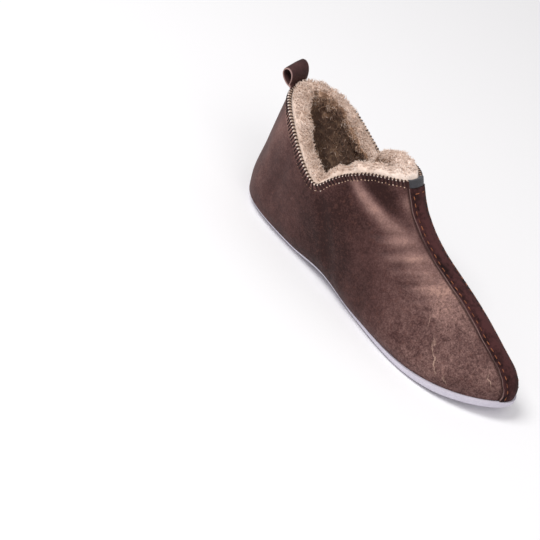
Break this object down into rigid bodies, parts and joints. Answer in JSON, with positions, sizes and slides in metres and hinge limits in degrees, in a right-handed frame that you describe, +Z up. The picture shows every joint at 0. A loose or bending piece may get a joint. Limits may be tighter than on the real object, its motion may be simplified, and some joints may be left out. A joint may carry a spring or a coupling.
{
  "type": "sheepskin slipper boot",
  "caption": "Right slipper boot in brown leather with a thick wool lining, a dark suede strip over the front seam, a pull loop at the back and a thin pale foam sole.",
  "frame": {"origin": "on the floor, under the middle of the shoe's bounding box", "axes": "+X from heel to toe, +Y to the inner side of the foot, +Z up from the floor"},
  "size_m": [0.2804, 0.0848, 0.1111],
  "materials": {
    "foam_white": "matte",
    "brown_leather": "matte",
    "wool": "matte",
    "dark_suede": "matte",
    "label_grey": "matte",
    "dark_leather": "satin"
  },
  "bodies": {
    "root": {"outsole": "foam_white", "insole": "wool", "upper": "brown_leather", "wool_lining": "wool", "centre_strip": "dark_suede", "label_tab": "label_grey", "pull_loop": "dark_leather"}
  },
  "joints": []
}
